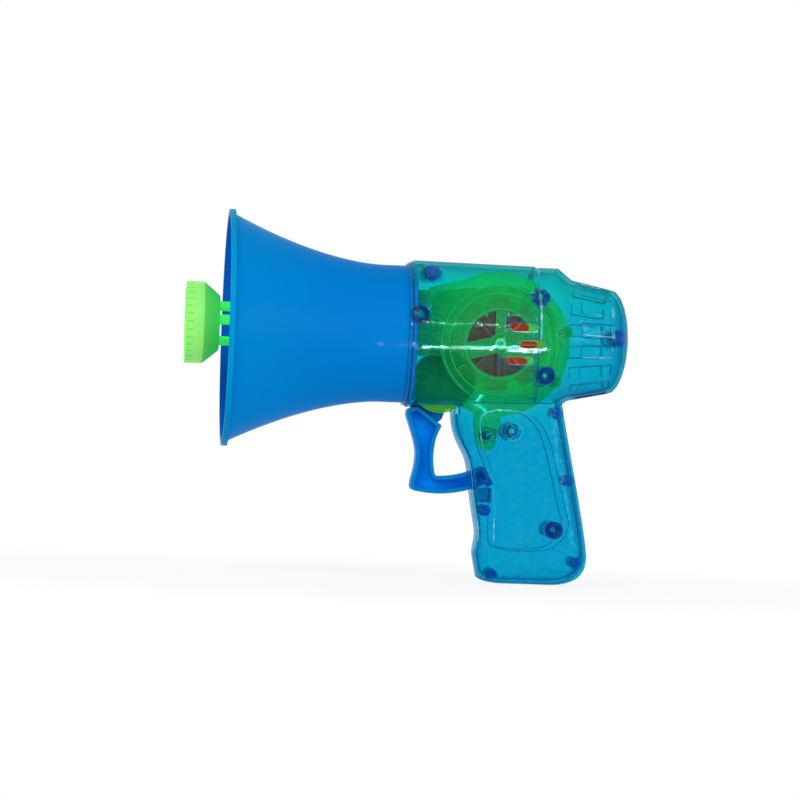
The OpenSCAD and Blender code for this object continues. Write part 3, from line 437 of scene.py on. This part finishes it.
shellLook = dict(
    clearLook, smooth=28,
    tint=(0.17, 0.795, 0.875), thickTint=(0.01, 0.40, 0.64),
    zones=[fade("Z", 6, 22, tint=(0.17, 0.85, 0.85)),
           fade("Z", -30, -42, tint=(0.15, 0.765, 0.88)),
           dict(around=fanMiddle, start=22 * mm, end=36 * mm, most=0.85, tint=(0.50, 0.90, 0.78)),
           fade("X", 80.4, 79.6, tint=(0.85, 0.97, 0.99))],
    colour=(0.0, 0.36, 0.56), deep=(0.0, 0.28, 0.53), glossColour=(0.55, 0.97, 1.0),
    body=0.03, turnShare=0.6, cloud=0.02, rough=0.04,
    # painted dark edge lines, and from x = 84 mm a painted highlight with painted glints on corners that
    # face up and forward
    lineWidth=0.85 * mm, lineBody=0.95, paintedEdgeShadeColour=(0.0, 0.03, 0.22), paintedHighlightColour=(0.03, 0.50, 0.62),
    paintedHighlightFrom=fade("X", 80, 84), paintedGlint=dict(clearLook["paintedGlint"], start=0.47),
    wave=dict(clearLook["wave"], scale=130), waveStrength=0.16,
    ripple=dict(clearLook["ripple"], scale=330), rippleShare=0.75, calm=fade("Z", -38, -28, least=0.05),
    shine=0.014, rimShine=0.04, broken=0.96,
    bands=[fade("Z", 12, 27, colour=(0.0, 0.55, 0.42))],
    spots=[dict(places=ringBosses, radius=3.7 * mm, hole=1.85 * mm, holeShare=0.95,
                colour=(0.0, 0.035, 0.28), body=0.7),
           dict(places=[frontBoss, knobBoss], radius=3.4 * mm, hole=1.1 * mm, holeShare=0.25,
                colour=(0.0, 0.05, 0.38), body=0.7),
           dict(places=[keyBoss], radius=3.6 * mm, hole=1.7 * mm, holeShare=0.6,
                colour=(0.0, 0.02, 0.16), body=0.75),
           dict(places=pegs, radius=2.4 * mm, colour=(0.0, 0.09, 0.45), body=0.5)],
    # painted highlight: pale circles on the walls of the grip boss behind the skin
    rings=dict(circles=[(gripBoss, 3.7 * mm), (gripBoss, 2.1 * mm)], half=0.2 * mm,
               colour=(0.06, 0.52, 0.62), body=0.24))
finishes["left_shell"] = clearMoulded("shell clear plastic", shellLook)

farLook = dict(shellLook, spotShare=0.3)        # fainter bosses, as the near half shows them too
finishes["right_shell"] = clearMoulded("far shell clear plastic", farLook)

housingLook = dict(
    clearLook, smooth=30,
    tint=(0.60, 0.965, 0.72), thickTint=(0.14, 0.7, 0.14),
    colour=(0.50, 1.0, 0.24), deep=(0.30, 0.93, 0.16), glossColour=(0.9, 1.0, 0.9),
    body=0.46, turnShare=0.5, cloud=0.15, rough=0.10,
    # painted edge lines: darker green, and paler as a highlight on corners that face up and forward, with a
    # few painted glints
    lineWidth=0.4 * mm, lineBody=0.4, paintedEdgeShadeColour=(0.10, 0.60, 0.10), paintedHighlightColour=(0.5, 1.0, 0.45),
    waveStrength=0.06, rippleShare=0.1, shine=0.010, rimShine=0.08,
    zones=[fade("Z", -30, -35, tint=(0.72, 0.99, 0.42))],
    thinner=fade("Z", -30, -35, most=0.3),
    bands=[fade("Z", -28, -36, colour=(0.75, 1.0, 0.40))],
    spots=[dict(places=[pivotMiddle], radius=14 * mm, colour=(0.08, 0.46, 0.02), body=0.2)])
finishes["blower_housing"] = clearMoulded("housing clear plastic", housingLook)

coverLook = dict(
    housingLook, tint=(0.70, 0.97, 0.66), body=0.25,
    # painted highlight: pale thin circles, where rims around the fan's middle catch the light
    rings=dict(circles=[(fanMiddle, 14.9 * mm), (fanMiddle, 21.5 * mm), (fanMiddle, 24.8 * mm)],
               half=0.16 * mm, colour=(0.5, 1.0, 0.4), body=0.22))
finishes["blower_cover"] = clearMoulded("cover clear plastic", coverLook)

bellLook = dict(
    plasticLook, smooth=32, round=0.35 * mm,
    colour=(0.0, 0.185, 0.555), deep=(0.0, 0.150, 0.52), light=(0.003, 0.22, 0.60),
    rough=0.30, coat=0.012, shine=0.006, flow=dict(plasticLook["flow"], scale=14, gain=1.12),
    # painted light: lighter toward the mouth and on the lip, and lighter and bluer lower down
    bands=[fade("X", 50, 2, most=0.5, colour=(0.0, 0.235, 0.57)),
           fade("Z", -8, -40, most=0.8, colour=(0.0, 0.235, 0.68)),
           fade("X", 2.6, 1.6, colour=(0.0, 0.27, 0.57))],
    # painted shade inside the mouth of the bell
    inside=fade("X", 12, 4, colour=(0.0, 0.12, 0.62)))
finishes["bell"] = moulded("bell plastic", bellLook)

triggerLook = dict(
    plasticLook, smooth=30, round=0.35 * mm,
    colour=(0.0, 0.26, 0.80), deep=(0.0, 0.22, 0.74), light=(0.005, 0.30, 0.84),
    rough=0.24, coat=0.012, shine=0.01,
    # painted shade: darker colour in the trigger's creases and recesses
    paintedShade=1.2 * mm, paintedShadeColour=(0.0, 0.05, 0.50), paintedShadeShare=0.7,
    bands=[fade("Y", -4.2, -4.9, colour=(0.001, 0.19, 0.50)),
           fade("Y", 4.2, 4.9, colour=(0.001, 0.19, 0.50))])
finishes["trigger"] = moulded("trigger plastic", triggerLook)

headLook = dict(
    plasticLook, smooth=28, round=0.25 * mm,
    colour=(0.05, 0.98, 0.13), deep=(0.04, 0.90, 0.11), light=(0.3, 0.98, 0.3),
    # painted glow: the ring gives off light in its own green
    rough=0.32, coat=0.05, shine=0.1, paintedGlow=0.2,
    # painted shade: darker green in the ring's creases
    paintedShade=0.8 * mm, paintedShadeColour=(0.05, 0.60, 0.03), paintedShadeShare=0.7,
    # painted light: lighter and yellower toward the ring's front
    bands=[fade("X", -6, -13, colour=(0.40, 0.87, 0.20)),
           fade("X", -1, -9, most=0.4, colour=(0.20, 0.92, 0.15))])
finishes["dip_head"] = moulded("dip ring plastic", headLook)

tubeLook = dict(
    plasticLook, smooth=30, colour=(0.07, 0.50, 0.10), deep=(0.04, 0.36, 0.07), light=(0.3, 0.7, 0.3),
    rough=0.30)
finishes["air_tube"] = moulded("air tube plastic", tubeLook)

fanLook = dict(
    plasticLook, smooth=30, round=0.15 * mm,
    colour=(1.0, 0.070, 0.012), deep=(0.88, 0.040, 0.008), light=(1.0, 0.25, 0.1),
    # painted glow in the fan's red, and painted shade: darker red in the fan's creases
    rough=0.28, coat=0.1, paintedGlow=0.10, paintedShade=2 * mm, paintedShadeColour=(0.45, 0.01, 0.005))
finishes["impeller"] = moulded("fan plastic", fanLook)

pinionLook = dict(
    plasticLook, colour=(0.80, 0.76, 0.64), deep=(0.70, 0.65, 0.52), light=(0.9, 0.88, 0.8), rough=0.42)
finishes["fan_pinion"] = moulded("pinion plastic", pinionLook)

firstGearLook = dict(
    plasticLook, colour=(0.82, 0.55, 0.04), deep=(0.70, 0.42, 0.03), light=(0.9, 0.7, 0.3), rough=0.40)
finishes["first_gear"] = moulded("first gear plastic", firstGearLook)

secondGearLook = dict(
    plasticLook, colour=(0.80, 0.80, 0.77), deep=(0.70, 0.70, 0.66), light=(0.9, 0.9, 0.88), rough=0.42)
finishes["second_gear"] = moulded("second gear plastic", secondGearLook)

plateLook = dict(
    plasticLook, colour=(0.14, 0.52, 0.08), deep=(0.08, 0.42, 0.06), light=(0.4, 0.75, 0.3), rough=0.36)
finishes["gear_plate"] = moulded("gear plate plastic", plateLook)

brassLook = dict(metalLook, colour=(0.78, 0.55, 0.22), deep=(0.62, 0.40, 0.14), rough=0.25)
finishes["fan_bushes"] = metal("bush brass", brassLook)

wireLook = dict(metalLook, colour=(0.46, 0.46, 0.48), deep=(0.34, 0.34, 0.36), rough=0.28,
                lines=dict(metalLook["lines"], stretch=(1, 1, 1)))
finishes["return_spring"] = metal("spring wire", wireLook)

zincLook = dict(metalLook, colour=(0.86, 0.90, 0.90), deep=(0.74, 0.80, 0.80), rough=0.6)
finishes["cover_screws"] = metal("dull zinc", zincLook)

dullLook = dict(metalLook, colour=(0.20, 0.24, 0.22), deep=(0.12, 0.15, 0.14), rough=0.42)
dullSteel = metal("dull steel", dullLook)
for node in ("housing_screws", "plate_screws", "fan_shaft"):
    finishes[node] = dullSteel

brightLook = dict(metalLook, colour=(0.62, 0.62, 0.64), deep=(0.48, 0.48, 0.50), rough=0.22)
brightSteel = metal("bright steel", brightLook)
for node in ("shell_screws", "gear_axles", "pivot_pin"):
    finishes[node] = brightSteel

# pieces that show get a welded, softened copy; the rest keep the frame's own surface
copyLook = {"weld": 0.002 * mm, "flat": 0.3, "corner": 40, "segments": 2}        # angles in degrees
softened = {
    "left_shell": shellLook, "right_shell": farLook, "bell": bellLook, "air_tube": tubeLook,
    "blower_housing": housingLook, "blower_cover": coverLook, "impeller": fanLook,
    "trigger": triggerLook, "dip_head": headLook}


def newPiece(name, build):
    # an object from a bmesh, shaded smooth
    mesh = bpy.data.meshes.new(name)
    build.to_mesh(mesh)
    build.free()
    mesh.polygons.foreach_set("use_smooth", [True] * len(mesh.polygons))
    piece = bpy.data.objects.new(name, mesh)
    bpy.context.scene.collection.objects.link(piece)
    return piece


def softCopy(node, look):
    # the node's surface again, welded, with its facets smoothed and its corners rounded
    build = bmesh.new()
    build.from_mesh(nodes[node].data)
    bmesh.ops.remove_doubles(build, verts=build.verts, dist=copyLook["weld"])
    bmesh.ops.dissolve_limit(build, angle_limit=math.radians(copyLook["flat"]), verts=build.verts,
                             edges=build.edges)
    piece = newPiece(node + "_soft", build)
    piece.data.set_sharp_from_angle(angle=math.radians(look["smooth"]))
    if "round" in look:
        bevel = piece.modifiers.new("rounded corners", "BEVEL")
        bevel.width = look["round"]
        bevel.segments = copyLook["segments"]
        bevel.limit_method = "ANGLE"
        bevel.angle_limit = math.radians(copyLook["corner"])
        bevel.use_clamp_overlap = True
    even = piece.modifiers.new("even shading", "WEIGHTED_NORMAL")
    even.keep_sharp = True
    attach(piece, bodyOf[node])
    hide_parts(node)
    return piece


def dress(piece, material):
    piece.data.materials.clear()
    piece.data.materials.append(material)


for node in list(nodes):
    dress(nodes[node], finishes[node])
    if node in softened:
        dress(softCopy(node, softened[node]), finishes[node])

# the return spring: angles in degrees, steps and caps as shares of the leg and the wire's radius
springLook = {
    "centre": pivotMiddle, "curlRadius": 4.05 * mm, "low": 4.8 * mm, "pitch": 1.28 * mm,
    "from": 315, "turned": 1065, "ringsPerTurn": 32, "leg": 8.1 * mm, "legSteps": (0.33, 0.66, 1),
    "wireRadius": 0.4 * mm, "sides": 12, "capInset": 0.3, "capRise": 0.25}


def wire(name, path, look):
    # a round wire along a path, its ends chamfered
    radius = look["wireRadius"]
    sides = look["sides"]
    build = bmesh.new()
    rings = []
    for i, point in enumerate(path):
        heading = (path[min(i + 1, len(path) - 1)] - path[max(i - 1, 0)]).normalized()
        out = heading.cross(Vector((0, 1, 0))).normalized()
        up = heading.cross(out)
        around = [math.tau * k / sides for k in range(sides)]
        corners = [point + radius * (out * math.cos(a) + up * math.sin(a)) for a in around]
        rings.append([build.verts.new(corner) for corner in corners])
    for first, second in zip(rings, rings[1:]):
        for k in range(sides):
            n = (k + 1) % sides
            build.faces.new((first[k], first[n], second[n], second[k]))
    for ring, outward in ((rings[0], path[0] - path[1]), (rings[-1], path[-1] - path[-2])):
        cap = build.faces.new(ring)
        bmesh.ops.inset_region(build, faces=[cap], thickness=radius * look["capInset"])
        rise = outward.normalized() * radius * look["capRise"]
        bmesh.ops.translate(build, verts=list(cap.verts), vec=rise)
    bmesh.ops.recalc_face_normals(build, faces=build.faces)
    return newPiece(name, build)


def woundSpring(look):
    # a straight leg, the curls and a straight leg
    centre = look["centre"]
    low = look["low"]
    high = low + look["pitch"] * look["turned"] / 360
    thin = look["wireRadius"]

    def sideways(angle, reach):
        angle = math.radians(angle)
        return Vector((math.cos(angle), 0, math.sin(angle))) * reach

    def onCurl(turned):
        level = Vector((centre.x, low + look["pitch"] * turned / 360, centre.z))
        return level + sideways(look["from"] + turned, look["curlRadius"])

    def alongLeg(turned, reach):
        return onCurl(turned) + sideways(look["from"] + turned + 90, reach)

    steps = round(look["turned"] / 360 * look["ringsPerTurn"])
    curls = [onCurl(look["turned"] * i / steps) for i in range(steps + 1)]
    firstLeg = [alongLeg(0, -look["leg"] * share) for share in reversed(look["legSteps"])]
    lastLeg = [alongLeg(look["turned"], look["leg"] * share) for share in look["legSteps"]]
    piece = wire("return_spring_wire", firstLeg + curls + lastLeg, look)
    low + thin
    high - thin
    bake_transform(piece)
    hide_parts("return_spring")
    return piece


dress(woundSpring(springLook), finishes["return_spring"])
print("finishes on", len(nodes), "nodes,", len(softened), "of them softened, and the spring rewound")

# camera at the photograph's angle, in degrees; the scale is what one pixel covers at the part
cameraLook = {
    "aim": Vector((75.5, 0, -28.1)) * mm, "distance": 2.0, "azimuth": -4.2, "rise": 0.0, "roll": 2.17,
    "scale": 0.426 * mm, "imageWidth": 800, "sensor": 36.0, "clipStart": 0.05, "clipEnd": 20}


def makeCamera(look):
    camera = bpy.data.objects.new("camera", bpy.data.cameras.new("camera"))
    bpy.context.scene.collection.objects.link(camera)
    turn = math.radians(look["azimuth"])
    rise = math.radians(look["rise"])
    back = Vector((math.sin(turn) * math.cos(rise), -math.cos(turn) * math.cos(rise), math.sin(rise)))
    camera.location = look["aim"] + back * look["distance"]
    facing = (-back).to_track_quat("-Z", "Y").to_matrix().to_4x4()
    facing = facing @ Matrix.Rotation(math.radians(look["roll"]), 4, "Z")
    camera.rotation_mode = "QUATERNION"
    camera.rotation_quaternion = facing.to_quaternion()
    camera.data.sensor_width = look["sensor"]
    camera.data.lens = look["sensor"] * look["distance"] / (look["imageWidth"] * look["scale"])
    camera.data.dof.use_dof = False
    camera.data.clip_start = look["clipStart"]
    camera.data.clip_end = look["clipEnd"]
    bpy.context.scene.camera = camera


makeCamera(cameraLook)
print("camera set")

# floor, lamps and world
floorLook = {
    "size": 6.0, "gap": 0.2 * mm, "colour": (0.86, 0.86, 0.86), "deep": (0.8428, 0.8428, 0.8428),
    "grain": {"scale": 3, "detail": 2, "roughness": 0.5},
    "shadow": 0.16, "shadowNear": 0.10, "shadowFar": 0.32}


def makeFloor(look):
    # backdrop rays see white, with a share of the plain shader near the object for its shadow
    mesh = bpy.data.meshes.new("floor")
    half = look["size"] / 2
    level = cadLow.z - look["gap"]
    corners = [(-half, -half, level), (half, -half, level), (half, half, level), (-half, half, level)]
    mesh.from_pydata(corners, [], [(0, 1, 2, 3)])
    floor = bpy.data.objects.new("floor", mesh)
    bpy.context.scene.collection.objects.link(floor)
    paint = Paint(bpy.data.materials.new("floor"))
    pale = paint.add("ShaderNodeBsdfDiffuse", inputs={"Color": look["colour"]})
    darker = paint.add("ShaderNodeBsdfDiffuse", inputs={"Color": look["deep"]})
    plain = paint.covered(paint.noise(look["grain"]), pale, darker)
    white = paint.add("ShaderNodeEmission", inputs={"Color": (1, 1, 1), "Strength": 1.0})
    away = paint.vector("DISTANCE", paint.place(), (middle.x, 0, level))
    share = away.eased(look["shadowNear"], look["shadowFar"], look["shadow"], 0.0)
    seen = paint.backdropRays() * (1 - share)
    mesh.materials.append(paint.finish(paint.covered(seen, plain, white)))


makeFloor(floorLook)

# sizes in metres, power in watts and a streak's spread in degrees
lamps = {
    "key": {"at": (-0.35, -0.95, 0.6), "toward": middle, "size": (0.6, 0.6), "power": 6},
    "fill": {"at": (0.75, -0.9, 0.2), "toward": middle, "size": (0.6, 0.6), "power": 4},
    "back": {"at": (0.3, 0.95, 0.55), "toward": middle, "size": (0.6, 0.6), "power": 4, "soft": True},
    "low streak": {"at": (0.1315, -0.30, -0.098), "toward": Vector((0.106, 0, -4 * mm)),
                   "size": (0.069, 0.0025), "power": 0.009, "streak": 16},
    "high streak": {"at": (0.163, -0.62, 0.208), "toward": Vector((0.115, 0, -4 * mm)),
                    "size": (0.075, 0.005), "power": 0.005, "streak": 30},
}


def makeLamp(name, look):
    # a streak lights no matt surface, and a soft lamp has no reflection
    lamp = bpy.data.lights.new(name, "AREA")
    lamp.shape = "RECTANGLE"
    lamp.size, lamp.size_y = look["size"]
    lamp.energy = look["power"]
    held = bpy.data.objects.new(name, lamp)
    bpy.context.scene.collection.objects.link(held)
    held.location = look["at"]
    held.rotation_mode = "QUATERNION"
    held.rotation_quaternion = (look["toward"] - Vector(look["at"])).to_track_quat("-Z", "Y")
    if "streak" in look:
        lamp.spread = math.radians(look["streak"])
        held.visible_camera = False
        held.visible_diffuse = False
    if "soft" in look:
        held.visible_glossy = False


for name, look in lamps.items():
    makeLamp(name, look)

worldLook = {"strength": 0.5}        # what lights the object; backdrop rays see 1, which is white


def makeWorld(look):
    world = bpy.data.worlds.new("world")
    bpy.context.scene.world = world
    paint = Paint(world)
    dim = paint.add("ShaderNodeBackground", inputs={"Color": (1, 1, 1), "Strength": look["strength"]})
    white = paint.add("ShaderNodeBackground", inputs={"Color": (1, 1, 1), "Strength": 1.0})
    paint.finish(paint.covered(paint.backdropRays(), dim, white), "ShaderNodeOutputWorld")


makeWorld(worldLook)
bpy.context.scene.view_settings.view_transform = "Standard"
print("floor, lamps and world set")
